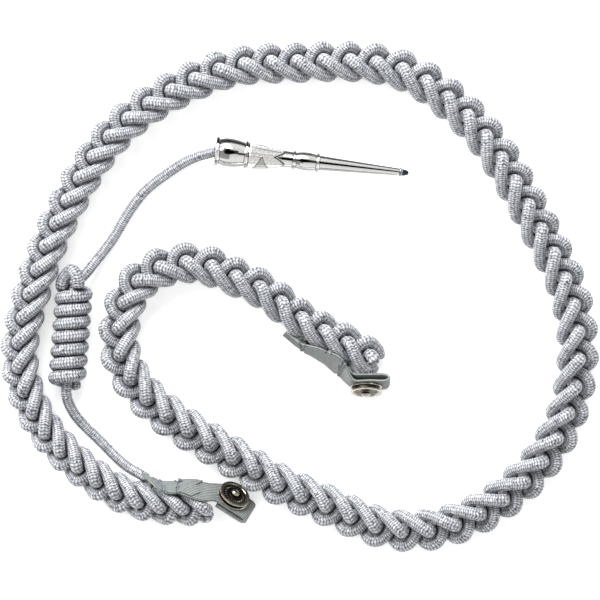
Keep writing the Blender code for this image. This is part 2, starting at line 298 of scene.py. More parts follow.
# A round braid in columns of slanting ribs, its ends rounded over.
def braidedCord(name, line, settings, material):
    braidedLines.append((name, np.asarray(line, float), settings["radius"]))
    radius, pitch, columns = settings["radius"], settings["pitch"], settings["columns"]
    line = np.asarray(line, float)
    along = lengthAlong(line)
    _, side, up = pathFrames(line)
    whole = along[-1]
    sides = 2 * columns
    rings = 2 * round(whole / pitch) + 1
    base = np.linspace(0, whole, rings)[:, None]
    j = np.arange(sides)[None, :]
    zigzag = np.where(j % 4 == 0, -0.5, np.where(j % 4 == 2, 0.5, 0.0))
    ease = np.clip(np.minimum(base, whole - base) / (1.5 * pitch), 0, 1)
    places = np.clip(base + zigzag * settings["slant"] * ease, 0, whole)
    crest = (np.arange(rings) % 2 == 1)[:, None]
    sunk = np.where(crest, 0.0, settings["relief"])
    reach = radius - sunk - np.where(j % 2 == 0, settings["groove"], 0.0)
    cap = settings["cap"] * radius
    ends = np.clip(np.minimum(base, whole - base) / cap, 0, 1)
    reach = reach * np.sqrt(1 - (1 - ends) ** 2 * settings["capClose"])
    read = lambda table: np.stack([np.interp(places, along, column) for column in table.T], axis=-1)
    angle = 2 * math.pi * j / sides
    ring = np.cos(angle)[..., None] * read(side) + np.sin(angle)[..., None] * read(up)
    points = read(line) + reach[..., None] * ring
    vertices = np.concatenate([points.reshape(-1, 3), line[:1], line[-1:]])
    i, k = np.meshgrid(np.arange(rings - 1), np.arange(sides), indexing="ij")
    n = (k + 1) % sides
    quads = np.stack([i * sides + k, i * sides + n, (i + 1) * sides + n, (i + 1) * sides + k], axis=-1)
    corners = ((0, 0), (1, 0), (1, 1), (0, 1))
    weave = np.stack([np.stack([(k + a) / 2, (i + b) / 2], axis=-1) for a, b in corners], axis=-2)
    faces, weave = quads.reshape(-1, 4).tolist(), list(weave.reshape(-1, 2))
    low, high, last = rings * sides, rings * sides + 1, (rings - 1) * sides
    for k in range(sides):
        n = (k + 1) % sides
        faces.append((low, n, k))
        weave += [(k / 2, -1), ((k + 1) / 2, 0), (k / 2, 0)]
        faces.append((high, last + k, last + n))
        weave += [(k / 2, rings / 2), (k / 2, rings / 2 - 1), ((k + 1) / 2, rings / 2 - 1)]
    obj = meshObject(name, vertices.tolist(), faces, material)
    layer = obj.data.uv_layers.new(name="weave")
    layer.data.foreach_set("uv", np.array(weave, np.float32).ravel())
    return obj


plait = {
    "axisHeight": 8.1, "steps": 48, "archStart": 0.35, "lowest": 2.6,
    # how far a strand goes along, outward and upward in its wave, millimetres:
    # cosine and sine of the wave, of twice it, of three and of four times it
    "tight": ((0, 0, 0, 1.6, 0, 0, 0, 0), (-3.68, 0, 0, -2.55, -0.07, 0, 0, 0.21),
              (3.68, 0, 0, -2.55, 0.07, 0, 0, 0.21)),
    "long": ((-0.6, 0.95, -0.1, 1.05, -0.15, 0.75, 0, 0), (-3.85, 0.15, 0.05, -2.9, 0, -0.1, 0, 0),
             (4.0, 0.0, 0.6, -2.6, 0.1, 0.1, 0, 0)),
    # share of the plait's length, millimetres from arch to arch, width, share of the long wave
    "pitch": (
        (0.00, 9.0, 0.97, 0.0), (0.08, 9.2, 0.97, 0.2), (0.16, 9.9, 0.96, 0.7), (0.30, 10.3, 1.00, 1.0),
        (0.50, 10.8, 1.04, 1.0), (0.62, 10.8, 1.05, 1.0), (0.75, 10.3, 1.03, 1.0), (0.90, 10.3, 1.0, 1.0),
        (0.955, 10.3, 1.0, 0.0), (1.00, 10.3, 1.00, 0.0),
    ),
    "route": (
        (-37.5, -83.5), (-54.5, -83.0), (-69.5, -79.0), (-84.0, -70.0), (-99.5, -55.0),
        (-109.0, -36.5), (-111.0, -26.0), (-107.5, -3.0), (-100.0, 19.5), (-90.5, 39.5),
        (-80.0, 56.5), (-64.0, 72.5), (-46.0, 83.0), (-25.5, 90.5), (-3.5, 92.0), (19.5, 92.5),
        (41.5, 88.5), (59.0, 77.0), (73.5, 62.0), (85.0, 44.0), (95.5, 24.5), (105.5, 3.0),
        (108.5, -9.0), (109.0, -30.0), (103.5, -51.0), (91.5, -69.5), (74.0, -84.0),
        (53.5, -92.0), (32.0, -91.5), (12.0, -83.5), (-7.5, -75.0), (-25.5, -64.5),
        (-43.5, -53.5), (-59.5, -41.5), (-71.0, -23.0), (-71.5, -13.0), (-69.5, -3.5),
        (-64.0, 5.5), (-55.0, 11.0), (-45.5, 13.0), (-35.5, 11.5), (-26.0, 7.5), (-17.0, 3.5),
        (0.0, -9.0), (18.5, -19.0), (29.5, -25.5),
    ),
    # each step of a strand's end: onward, and how far it sinks, millimetres; share of the way in
    "tuck": ((0.7, 0.4, 0.1), (1.3, 1.3, 0.35), (1.6, 2.6, 0.6)),
}
# thicker than the strands' solids, so neighbouring strands press into each other here
strandBraid = {"radius": 2.52 * mm, "pitch": 0.82 * mm, "columns": 10, "slant": 0.30 * mm,
               "relief": 0.14 * mm, "groove": 0.05 * mm, "cap": 0.7, "capClose": 0.93}


def tucked(line, middle, steps):
    heading = line[-1] - line[-3]
    heading /= np.linalg.norm(heading)
    inward = np.append(middle - line[-1][:2], 0)
    more = [line[-1] + heading * on + inward * share - np.array((0, 0, sink)) for on, sink, share in steps]
    return np.vstack([line, [np.maximum(p, (-1e9, -1e9, plait["lowest"])) for p in more]])


def plaitStrands():
    middle = smoothRoute(plait["route"], 0.5)
    along = lengthAlong(middle)
    heading = np.gradient(middle, along, axis=0)
    heading /= np.linalg.norm(heading, axis=1)[:, None]
    share, pitch, width, long = np.array(plait["pitch"]).T
    where = along / along[-1]
    rate = 1 / np.interp(where, share, pitch)
    arches = plait["archStart"] + np.append(0, np.cumsum(np.diff(along) * (rate[1:] + rate[:-1]) / 2))
    read = lambda places, table: np.stack([np.interp(places, along, c) for c in table.T], axis=1)
    tight, longWave = np.array(plait["tight"], float), np.array(plait["long"], float)
    steps = plait["steps"]
    strands = []
    for number in range(3):
        first = math.floor((arches[0] + number) * steps / 3)
        last = math.ceil((arches[-1] + number) * steps / 3)
        phase = np.arange(first, last + 1) * 2 * math.pi / steps
        waves = np.array([turn(k * phase) for k in range(1, 5) for turn in (np.cos, np.sin)])
        places = np.interp(phase / (2 * math.pi) * 3 - number, arches, along)
        loose = np.interp(places / along[-1], share, long)
        wide = np.interp(places / along[-1], share, width)
        onward, outward, upward = (1 - loose) * (tight @ waves) + loose * (longWave @ waves)
        places = places + onward
        inside = np.nonzero((places >= 0) & (places <= along[-1]))[0]
        kept = slice(inside[0], inside[-1] + 1)
        places = np.clip(places, 0, along[-1])
        ahead = read(places, heading)
        left = np.stack([-ahead[:, 1], ahead[:, 0]], axis=1)
        plan = read(places, middle) + left * (outward * wide)[:, None]
        line = np.column_stack([plan, plait["axisHeight"] + upward])[kept]
        line = tucked(line, middle[-1], plait["tuck"])
        line = tucked(line[::-1], middle[0], plait["tuck"])[::-1]
        strands.append((smoothRoute(line, 0.4) + shift) * mm)
    return strands


silverCord = cordMaterial("silver cord", cordFinish)
for number, line in enumerate(plaitStrands()):
    strand = braidedCord(f"strandBraid{number + 1}", line, strandBraid, silverCord)
    dress(strand, f"plait_strand_{number + 1}")
print("plait braided")

leadSettings = {
    "diameter": 4.4 * mm,
    "route": (
        (-60.3, -72.5, 7.8), (-62.8, -70.9, 7.0), (-65.8, -69.3, 5.5), (-70.5, -66.2, 3.6),
        (-76.4, -60.6, 2.5), (-82.4, -54.7, 2.2), (-88.0, -49.0, 3.0), (-91.4, -43.4, 5.0),
        (-92.6, -38.5, 6.8), (-92.4, -34.6, 7.3), (-92.0, -30.2, 7.3), (-91.4, -21.5, 7.3),
        (-90.9, -13.6, 7.3), (-90.3, -5.7, 7.3), (-89.8, 1.8, 7.3), (-88.7, 4.5, 7.0),
        (-85.5, 8.1, 6.1), (-82.4, 12.0, 4.6), (-78.4, 17.2, 3.0), (-74.1, 23.1, 2.3),
        (-69.7, 30.6, 2.2), (-65.8, 36.5, 2.2), (-60.6, 42.5, 2.2), (-54.3, 47.4, 2.2),
        (-47.6, 51.9, 2.4), (-40.9, 55.1, 3.4), (-35.7, 56.5, 4.9), (-33.0, 57.1, 5.6),
        (-29.4, 56.7, 5.6),
    ),
}
leadBraid = dict(strandBraid, radius=leadSettings["diameter"] / 2, pitch=0.84 * mm, columns=8, cap=0.3)
leadLine = (smoothRoute(leadSettings["route"], 0.8) + shift) * mm
leadCord = braidedCord("leadBraid", leadLine, leadBraid, silverCord)
dress(leadCord, "lead_cord")

knot = {
    "foot": (-92.3, -34.7, 7.65), "head": (-89.3, 3.5, 7.65), "radius": 4.95, "turns": 7 + 1 / 3,
    "steps": 9,
    "loop": ((-87.2, 3.1, 11.4), (-87.7, 5.9, 12.7), (-88.7, 8.9, 12.4), (-90.5, 9.9, 10.7),
             (-92.0, 8.3, 9.2), (-93.6, 6.4, 8.4)),
    "stub": ((-89.3, -37.4, 4.0),),
}
wrapBraid = dict(strandBraid, radius=2.66 * mm)


def knotLine():
    foot, head = np.array(knot["foot"]), np.array(knot["head"])
    axis = head - foot
    side = np.array((axis[1], -axis[0], 0)) / math.hypot(axis[0], axis[1])
    points = [np.array(place) for place in knot["loop"]]
    steps = knot["steps"]
    for i in range(round(knot["turns"] * steps) + 1):
        turn = i / steps
        angle = math.pi + 2 * math.pi * turn
        middle = head - axis * turn / knot["turns"]
        spoke = side * math.cos(angle) + np.array((0, 0, math.sin(angle)))
        points.append(middle + knot["radius"] * spoke)
    points += [np.array(place) for place in knot["stub"]]
    return (smoothRoute(points, 0.6) + shift) * mm


wrap = braidedCord("knotBraid", knotLine(), wrapBraid, silverCord)
dress(wrap, "knot_wrap")
for obj, settings in [(bpy.data.objects[f"strandBraid{n}"], strandBraid) for n in (1, 2, 3)] + [
        (leadCord, leadBraid), (wrap, wrapBraid)]:
    markCrevices(obj, obj.name, settings, cordFinish["creviceReach"])
print("lead cord and knot braided")


# The metal's worn places and its matt parts, and the painted shade on the snaps' faces, follow the mesh's
# own "finish" value; its painted reflections and painted shade on the tip follow a second value on the
# mesh.
def metalMaterial(name, settings):
    material, tree, shader = nodeMaterial(name)
    place = tree.nodes.new("ShaderNodeTexCoord")
    noise = tree.nodes.new("ShaderNodeTexNoise")
    noise.inputs["Scale"].default_value = settings["grain"]
    noise.inputs["Detail"].default_value = 4
    tree.links.new(place.outputs["Object"], noise.inputs["Vector"])
    bright, matt = settings["bright"], settings["matt"]
    dimmed = tuple(c * settings["wear"] for c in bright)
    worn = rampNode(tree, noise.outputs[0], ((0.35, dimmed), (0.6, bright)))
    finish = tree.nodes.new("ShaderNodeAttribute")
    finish.attribute_name = "finish"
    share = finish.outputs["Fac"]
    reflectionAndShade = tree.nodes.new("ShaderNodeAttribute")
    reflectionAndShade.attribute_name = "paintedReflectionAndShade"
    clean = mixNode(tree, "MIX", share, worn, matt)
    reflectionsPainted = mixNode(tree, "MIX", reflectionAndShade.outputs["Fac"], clean, settings["reflectionAndShade"])
    tree.links.new(reflectionsPainted, shader.inputs["Base Color"])
    low, high = settings["roughness"]
    smudge = mathNode(tree, "MULTIPLY", noise.outputs[0], low * 0.6)
    rough = mathNode(tree, "MULTIPLY_ADD", share, high - low, low * 0.7)
    tree.links.new(mathNode(tree, "ADD", rough, smudge), shader.inputs["Roughness"])
    shader.inputs["Metallic"].default_value = 1.0
    bumpInto(tree, shader, noise.outputs[0], 0.12, 0.00002)
    return material


def aimed(place, direction):
    return Matrix.Translation(place) @ direction.to_track_quat("Z", "Y").to_matrix().to_4x4()


# Turns rows of (radius, height) in millimetres about local Z. shape gives, for a row and an
# angle, how much further out and up the surface lies there, how matt it is (on the snaps, how much painted
# shade), and how much painted reflection and shade it gets.
def lathed(name, profile, sides, matrix, material, shape=lambda radius, height, angle: (0, 0, 0, 0)):
    vertices, faces, rings, finish, paintedReflectionAndShade = [], [], [], [], []
    for radius, height in profile:
        if radius < 1e-6:
            rings.append([len(vertices)] * sides)
            vertices.append((0, 0, height * mm))
            finish.append(shape(radius, height, 0)[2])
            paintedReflectionAndShade.append(shape(radius, height, 0)[3])
            continue
        rings.append(list(range(len(vertices), len(vertices) + sides)))
        for k in range(sides):
            angle = 2 * math.pi * k / sides
            out, up, mattAndShade, reflectionAndShade = shape(radius, height, angle)
            reach = (radius + out) * mm
            vertices.append((reach * math.cos(angle), reach * math.sin(angle), (height + up) * mm))
            finish.append(mattAndShade)
            paintedReflectionAndShade.append(reflectionAndShade)
    for low, high in zip(rings, rings[1:]):
        for k in range(sides):
            n = (k + 1) % sides
            face = []
            for v in (low[k], low[n], high[n], high[k]):
                if v not in face:
                    face.append(v)
            if len(face) > 2:
                faces.append(face)
    vertices = [tuple(matrix @ Vector(v)) for v in vertices]
    obj = meshObject(name, vertices, faces, material)
    turnOutwards(obj, 38)
    layer = obj.data.attributes.new("finish", "FLOAT", "POINT")
    layer.data.foreach_set("value", np.array(finish, np.float32))
    layer = obj.data.attributes.new("paintedReflectionAndShade", "FLOAT", "POINT")
    layer.data.foreach_set("value", np.array(paintedReflectionAndShade, np.float32))
    return obj


# Rows of (distance, radius, soft): a run of soft rows becomes one smooth curve.
def roundedProfile(rows, step):
    out, run = [], []
    for distance, radius, soft in rows:
        run.append((distance, radius))
        if not soft:
            out += smoothRun(run, step)
            run = [(distance, radius)]
    return out + [run[-1]] if len(run) > 1 else out


def smoothRun(run, step):
    if len(run) < 3:
        return run[:-1] if len(run) > 1 else []
    return [tuple(p) for p in smoothRoute(run, step)[:-1]]


tip = {
    "mouth": (-33.8, 57.24, 6.15), "point": (43.9, 48.5, 1.86), "sides": 144, "stretch": 1.018,
    # distance from the mouth, radius, 1 where the outline runs on smoothly
    "outline": (
        (0.0, 5.0, 0), (0.12, 5.45, 1), (0.55, 5.78, 1), (1.0, 5.72, 1), (1.45, 5.4, 1), (1.75, 5.0, 0),
        (3.2, 5.45, 1), (5.5, 5.65, 1), (8.7, 5.35, 1), (11.4, 4.75, 0), (11.6, 5.2, 1), (12.1, 5.5, 1),
        (12.6, 5.3, 1), (12.95, 4.8, 0), (15.6, 4.45, 1), (20.6, 3.85, 1), (25.6, 3.35, 1), (30.3, 3.2, 0),
        (30.5, 3.5, 1), (30.95, 3.7, 1), (31.4, 3.5, 1), (31.65, 3.15, 0), (33.6, 3.5, 1), (36.0, 3.65, 1),
        (39.5, 3.2, 0), (39.7, 3.6, 1), (40.15, 3.85, 1), (40.6, 3.6, 1), (40.85, 2.95, 0),
        (41.1, 2.94, 0), (51.4, 2.44, 0), (61.6, 1.95, 0), (71.3, 1.49, 0), (71.8, 1.46, 0),
        (72.1, 1.45, 0), (72.25, 1.75, 1), (72.7, 1.9, 1), (73.1, 1.75, 1), (73.3, 1.4, 0),
    ),
    "metal": {"bright": (0.88, 0.87, 0.85), "matt": (0.80, 0.79, 0.76), "wear": 0.93,
              "roughness": (0.05, 0.42), "grain": 900, "reflectionAndShade": (0.035, 0.04, 0.035)},
    "tool": {"bright": (0.035, 0.05, 0.085), "matt": (0.02, 0.02, 0.03), "wear": 0.8,
             "roughness": (0.2, 0.5), "grain": 900, "reflectionAndShade": (0.01, 0.01, 0.01)},
    "grooves": (0.12, 1.75, 11.4, 12.95, 30.3, 31.65, 39.5, 40.85, 72.1),
    # painted where the photograph's reflections lie, so they don't move with the view:
    # along the tip from, to; off the top from, to; how dark
    "reflectionBands": (
        (0.1, 1.7, 0.5, 1.9, 0.96), (0.1, 1.7, -1.9, -0.7, 0.75), (1.8, 11.4, 0.78, 1.8, 0.95),
        (1.8, 2.8, 0.25, 0.45, 0.96), (2.8, 4.2, 0.12, 0.34, 0.96), (4.2, 5.6, 0.02, 0.22, 0.96),
        (1.8, 5.6, -0.55, 0.12, 0.62), (5.6, 9.0, -0.1, 0.14, 0.97), (9.0, 11.3, -0.16, 0.02, 0.95),
        (1.8, 11.4, -1.8, -0.95, 0.78), (11.5, 12.9, 0.6, 1.8, 0.95), (11.5, 12.9, -0.25, 0.05, 0.6),
        (11.5, 12.9, -1.8, -0.75, 0.75), (13.0, 17.0, -0.14, 0.0, 0.95), (26.0, 30.3, 0.75, 1.8, 0.95),
        (26.0, 30.3, -0.2, 0.1, 0.97), (26.0, 30.3, -1.8, -0.95, 0.7), (30.4, 31.6, 0.5, 1.8, 0.93),
        (30.4, 31.6, -0.3, 0.1, 0.8), (30.4, 31.6, -1.8, -0.7, 0.75), (31.7, 39.5, 0.8, 1.8, 0.95),
        (31.7, 33.4, -0.6, 0.05, 0.6), (33.4, 34.4, -0.3, 0.25, 0.9), (34.4, 39.4, -0.16, 0.14, 0.97),
        (31.7, 39.4, -1.8, -0.9, 0.75), (39.6, 40.8, 0.6, 1.8, 0.93), (39.6, 40.8, -0.2, 0.2, 0.6),
        (39.6, 40.8, -1.8, -0.7, 0.75), (40.9, 72.0, 0.72, 1.8, 0.95), (40.9, 71.5, -0.14, 0.14, 0.97),
        (40.9, 71.5, -1.8, -0.75, 0.78), (72.1, 73.2, -1.8, 1.8, 0.7),
    ),
    "leaf": {"from": 13.0, "reach": 14.3, "flecks": 0.86, "notch": 3.8, "count": 4, "rise": 0.55,
             "edge": 0.5, "veins": 0.05, "sepal": 18.2, "sepalHalf": 3.5, "sepalRise": 0.28},
}


def tipMatrix():
    mouth, point = (Vector(tip[key]) + Vector(shift) for key in ("mouth", "point"))
    return aimed(mouth * mm, (mouth - point).normalized()) @ Matrix.Scale(tip["stretch"], 4, (0, 0, 1))


tipPlace = tipMatrix()
skyward = tipPlace.to_3x3().transposed() @ Vector((0, 0, 1))
skyAngle = math.atan2(skyward.y, skyward.x)
upper = tipPlace.to_3x3().transposed() @ Vector((0, 1, 0))
upperSide = 1 if math.sin(math.atan2(upper.y, upper.x) - skyAngle) > 0 else -1


# Four leaves clasp the shaft beyond the barrel, with a small matt sepal over one flank. The dark and
# grey bands stand in for the photograph's reflections and are painted, not reflected.
def tipShape(radius, height, angle):
    if radius < 1 or height > -0.1:
        return 0, 0, 0, 0
    off = ((angle - skyAngle + math.pi) % (2 * math.pi) - math.pi) * upperSide
    # dark bands of painted reflection, from the tip's table of bands
    reflectionAndShade = max((amount for begin, end, low, high, amount in tip["reflectionBands"]
                 if begin < -height < end and low < off < high), default=0)
    # dark lines of painted shade in the grooves
    if min(abs(height + groove) for groove in tip["grooves"]) < 0.06:
        reflectionAndShade = 0.85
    leaf = tip["leaf"]
    past = -height - leaf["from"]
    if not -0.5 < past < leaf["reach"] + 1 or radius < 2.6:
        return 0, 0, 0, reflectionAndShade
    turn = 2 * math.pi / leaf["count"]
    side = ((angle - skyAngle) % turn) / turn * 2 - 1
    tipAt = leaf["reach"] - leaf["notch"] * abs(side) ** 1.6 - 0.35 * abs(math.sin(9 * math.pi * side))
    rise = max(0.0, min(1.0, (tipAt - past) / leaf["edge"])) * max(0.0, min(1.0, past / 0.4))
    vein = leaf["veins"] * math.cos(side * 5 * math.pi) * min(1.0, past / 4)
    seam = 0.22 * math.exp(-((1 - abs(side)) / 0.05) ** 2)
    ridge = 0.18 * math.exp(-(side / 0.06) ** 2)
    out = rise * (leaf["rise"] + vein + ridge - seam)
    if rise > 0:
        fleck = math.sin(past * 5.1 + side * 9) * math.sin(past * 2.3 - side * 17)
        reflectionAndShade = 0.85 if fleck > leaf["flecks"] else 0
    # a dark line of painted shade along each leaf's edge
    if -0.3 < tipAt - past < leaf["edge"]:
        reflectionAndShade = 0.95
    # the leaves' sides turned away from the top get painted shade
    if rise > 0 and abs(off) > 1.05:
        reflectionAndShade = max(reflectionAndShade, 0.35)
    flank = abs(abs(off) - math.pi / 2) / (math.pi / 2)
    near = 1 - flank - abs(past + leaf["from"] - leaf["sepal"]) / leaf["sepalHalf"]
    mattAndShade = 0.3 * rise
    # the sepal is matt and painted darker, darkest at its rim
    if near > 0 and off < 0:
        out += leaf["sepalRise"] * min(1.0, near / 0.12) + 0.06 * math.cos(near * 40)
        mattAndShade, reflectionAndShade = 1.0, 0.9 if near < 0.1 else 0.42
    return out, 0, mattAndShade, reflectionAndShade


nickel = metalMaterial("polished nickel", tip["metal"])
bluedSteel = metalMaterial("blue-black point", tip["tool"])
outside = roundedProfile(tip["outline"], 0.3)
bore = [(0.0, 6.6), (2.45, 6.6), (2.45, 4.5), (4.2, 0.6), (4.6, 0.05)]
tipProfile = [(r, -d) for r, d in bore] + [(r, -d) for d, r in outside] + [(1.4, -73.3), (0.0, -73.3)]
tipBody = lathed("tipTurned", tipProfile, tip["sides"], tipPlace, nickel, tipShape)
dress(tipBody, "tip_body")
pointProfile = [(0.0, -73.4), (1.3, -73.4), (1.4, -73.6), (1.1, -74.8), (0.85, -75.5), (0.55, -75.9),
                (0.0, -76.0)]
tipPoint = lathed("tipPointTurned", pointProfile, 48, tipPlace, bluedSteel)
dress(tipPoint, "tip_point")
print("tip turned")

snaps = {
    "outer": {"place": (-25.8, -78.2, 9.1), "heading": -32.7, "lean": 52.0},
    "inner": {"place": (25.8, -38.5, 7.9), "heading": 0.0, "lean": -72.0},
}
# the matt colour here is nearly black: painted shade for the face's floor and groove
snapFinish = {"bright": (0.46, 0.42, 0.35), "matt": (0.028, 0.026, 0.018), "wear": 0.7,
              "roughness": (0.14, 0.3), "grain": 700, "reflectionAndShade": (0.02, 0.02, 0.018),
              "ribs": 24, "ribRise": 0.2}
gunmetal = metalMaterial("gunmetal", snapFinish)


def snapFrame(settings):
    heading, lean = math.radians(settings["heading"]), math.radians(settings["lean"])
    along = Vector((math.cos(heading), math.sin(heading), 0))
    out = Vector((-along.y, along.x, 0)) * math.sin(lean) + Vector((0, 0, math.cos(lean)))
    return along, out.cross(along), out


# A ring of plain ribs round the face. The face's floor and the groove take the near-black matt colour, as
# painted shade.
def faceShape(radius, height, angle):
    inRing = max(0.0, 1 - abs(radius - 3.75) / 0.85) if height > -0.6 else 0.0
    up = snapFinish["ribRise"] * inRing * max(0.0, math.cos(angle * snapFinish["ribs"])) ** 0.5
    floor = 1.0 if radius < 5.0 and height > -0.6 else 0.0
    groove = 1.0 if -1.75 < height < -0.7 else 0.0
    mattAndShade = max(0.0, max(floor, groove) - 4.5 * up)
    return 0, up, mattAndShade, 0


snapOutline = (
    (0.0, -0.45), (1.9, -0.45), (2.1, -0.32), (2.3, -0.45), (2.9, -0.45), (3.2, -0.45), (3.5, -0.45),
    (3.8, -0.45), (4.1, -0.45), (4.4, -0.45), (4.6, -0.45), (5.0, -0.38), (5.25, -0.1),
    (5.5, 0.0), (6.0, 0.02), (6.3, -0.08), (6.4, -0.32), (6.3, -0.55), (5.9, -0.72), (5.35, -0.85),
    (5.3, -1.3), (5.35, -1.72), (5.9, -1.8), (6.25, -1.88), (6.4, -2.15), (6.25, -2.42),
    (5.9, -2.5), (0.0, -2.5),
)
studOutline = ((0.0, 1.55), (0.7, 1.5), (1.15, 1.4), (1.55, 1.05), (1.7, 0.6), (1.55, 0.2), (1.4, -0.2),
               (0.0, -0.2))
for name, settings in snaps.items():
    along, across, out = snapFrame(settings)
    place = (Vector(settings["place"]) + Vector(shift)) * mm
    matrix = Matrix.Translation(place) @ Matrix((along, across, out)).transposed().to_4x4()
    ring = lathed(f"{name}SnapRing", snapOutline, 168, matrix, gunmetal, faceShape)
    stud = lathed(f"{name}SnapStud", studOutline, 48, matrix, gunmetal)
    dress(ring, f"snap_{name}_body")
    dress(stud, f"snap_{name}_stud")
print("snaps made")

tapeFinish = {
    "thickness": 1.0, "half": 5.7, "behind": 3.45, "loop": 2.6, "weft": 0.5, "relief": 0.09,
    "tones": ((0.1, (0.09, 0.10, 0.095)), (0.45, (0.20, 0.222, 0.212)), (0.95, (0.40, 0.435, 0.415))),
    "thread": (0.11, 0.125, 0.135), "threadRadius": 0.34, "ribDark": 0.18,
    # the doubled cloth on top of the tape: from, to, above its face, and its rows; the stitches' lift
    "fold": (0.05, 0.55), "foldRows": 24, "stitchLift": 0.14,
}
tabs = {
    "outer": {
        "rows": (
            ((-62.6, -69.9, 11.0), (-59.6, -72.8, 13.3)), ((-56.5, -72.9, 8.6), (-53.7, -77.3, 15.5)),
            ((-49.0, -73.5, 5.6), (-48.6, -77.6, 15.9)), ((-41.9, -73.3, 4.9), (-44.2, -78.9, 16.2)),
            ((-36.6, -74.4, 4.3), (-37.8, -80.7, 15.6)),
        ),
        # row, how much the tape narrows there, how far along in rows
        "pinches": ((0.95, 0.10, 0.22), (2.15, 0.08, 0.2)),
        "stitches": (0.86, 0.95, 1.04, 1.98, 2.06), "layer": (2.2, 3.4, 0.42),
        "rests": "plait_strand_3", "shows": (0, 0, 1), "tail": (), "tuft": (-47.6, -73.6, 8.2),
    },
    "inner": {
        "rows": (
            ((-5.8, -14.3, 10.4), (-7.0, -15.5, 7.4)), ((0.1, -18.7, 11.6), (-0.3, -20.9, 6.0)),
            ((5.3, -20.2, 13.2), (4.1, -23.1, 4.0)), ((10.9, -22.1, 13.9), (9.7, -26.8, 2.5)),
            ((15.4, -24.3, 14.4), (13.6, -30.0, 1.5)), ((18.2, -28.0, 13.7), (16.2, -32.6, 1.3)),
        ),
        "pinches": ((1.1, 0.10, 0.2), (3.0, 0.12, 0.22), (4.6, 0.08, 0.2)),
        "stitches": (1.05, 1.18, 2.95, 3.08, 4.55, 4.68), "layer": (1.4, 4.4, 0.3),
        "rests": "plait_strand_1", "shows": (-0.4, -1, 0), "tail": ((-5.9, 7.1), (-6.7, 9.2)),
    },
}


def tabRows(name):
    along, across, out = (np.array(v) for v in snapFrame(snaps[name]))
    rows = [[np.array(a), np.array(b)] for a, b in tabs[name]["rows"]]
    place = np.array(snaps[name]["place"])
    first = tapeFinish["behind"]
    second = first + tapeFinish["loop"]
    for past, depth in (
        (-5.0, first + 0.5), (0.0, first + 0.1), (6.0, first), (8.4, first + 0.4),
        (9.2, (first + second) / 2), (8.4, second - 0.4), (6.0, second), (0.0, second), (-4.0, second),
        *tabs[name]["tail"],
    ):
        middle = place + along * past - out * depth
        rows.append([middle + across * tapeFinish["half"], middle - across * tapeFinish["half"]])
    return np.array([[*a, *b] for a, b in rows])


def tapeMaterial():
    material, tree, shader = nodeMaterial("grey-green tape")
    across, along = weaveCoordinates(tree)
    warp = crown(tree, across)
    twill = crown(tree, mathNode(tree, "MULTIPLY_ADD", across, 0.5, along))
    grain = cellNoise(tree, mathNode(tree, "MULTIPLY", across, 2.0), along, 8.0)
    height = mathNode(tree, "MULTIPLY_ADD", twill, 0.6, warp)
    mixed = mathNode(tree, "MULTIPLY_ADD", grain, 0.3, mathNode(tree, "MULTIPLY", height, 0.45))
    # the grooves between the tape's ribs are darkened as painted shade
    rib = mathNode(tree, "MULTIPLY_ADD", mathNode(tree, "POWER", warp, 0.7),
                   1 - tapeFinish["ribDark"], tapeFinish["ribDark"])
    tone = rampNode(tree, mixed, tapeFinish["tones"])
    tree.links.new(mixNode(tree, "MULTIPLY", 1.0, tone, greyNode(tree, rib)), shader.inputs["Base Color"])
    shader.inputs["Roughness"].default_value = 0.75
    shader.inputs["Sheen Weight"].default_value = 0.25
    bumpInto(tree, shader, height, 0.6, 0.00012)
    return material


def threadMaterial():
    material, tree, shader = nodeMaterial("sewing thread")
    across, along = weaveCoordinates(tree)
    ply = crown(tree, mathNode(tree, "ADD", across, along))
    dark = tapeFinish["thread"]
    tone = rampNode(tree, ply, ((0.0, tuple(c * 0.55 for c in dark)), (0.7, tuple(c * 1.7 for c in dark))))
    tree.links.new(tone, shader.inputs["Base Color"])
    shader.inputs["Roughness"].default_value = 0.6
    bumpInto(tree, shader, ply, 0.5, 0.00005)
    return material


tapeCloth, threadFibre = tapeMaterial(), threadMaterial()


# The tape's middle surface, its normal at each place, and how far it runs, in millimetres.
def tapeGrid(name, steps=10, wide=22):
    rows = tabRows(name)
    at = np.linspace(0, len(rows) - 1, steps * (len(rows) - 1) + 1)
    fine = naturalSpline(range(len(rows)), rows, at)
    narrow = np.zeros(len(at))
    for row, amount, half in tabs[name]["pinches"]:
        narrow += amount * np.exp(-((at - row) / half) ** 2)
    share = np.linspace(0, 1, wide + 1)[None, :] * (1 - narrow[:, None]) + narrow[:, None] / 2
    share = share[..., None]
    grid = fine[:, None, :3] * (1 - share) + fine[:, None, 3:] * share
    normal = np.cross(np.gradient(grid, axis=0), np.gradient(grid, axis=1))
    normal /= np.linalg.norm(normal, axis=2)[..., None]
    return at, grid, normal, lengthAlong(grid.mean(axis=1))


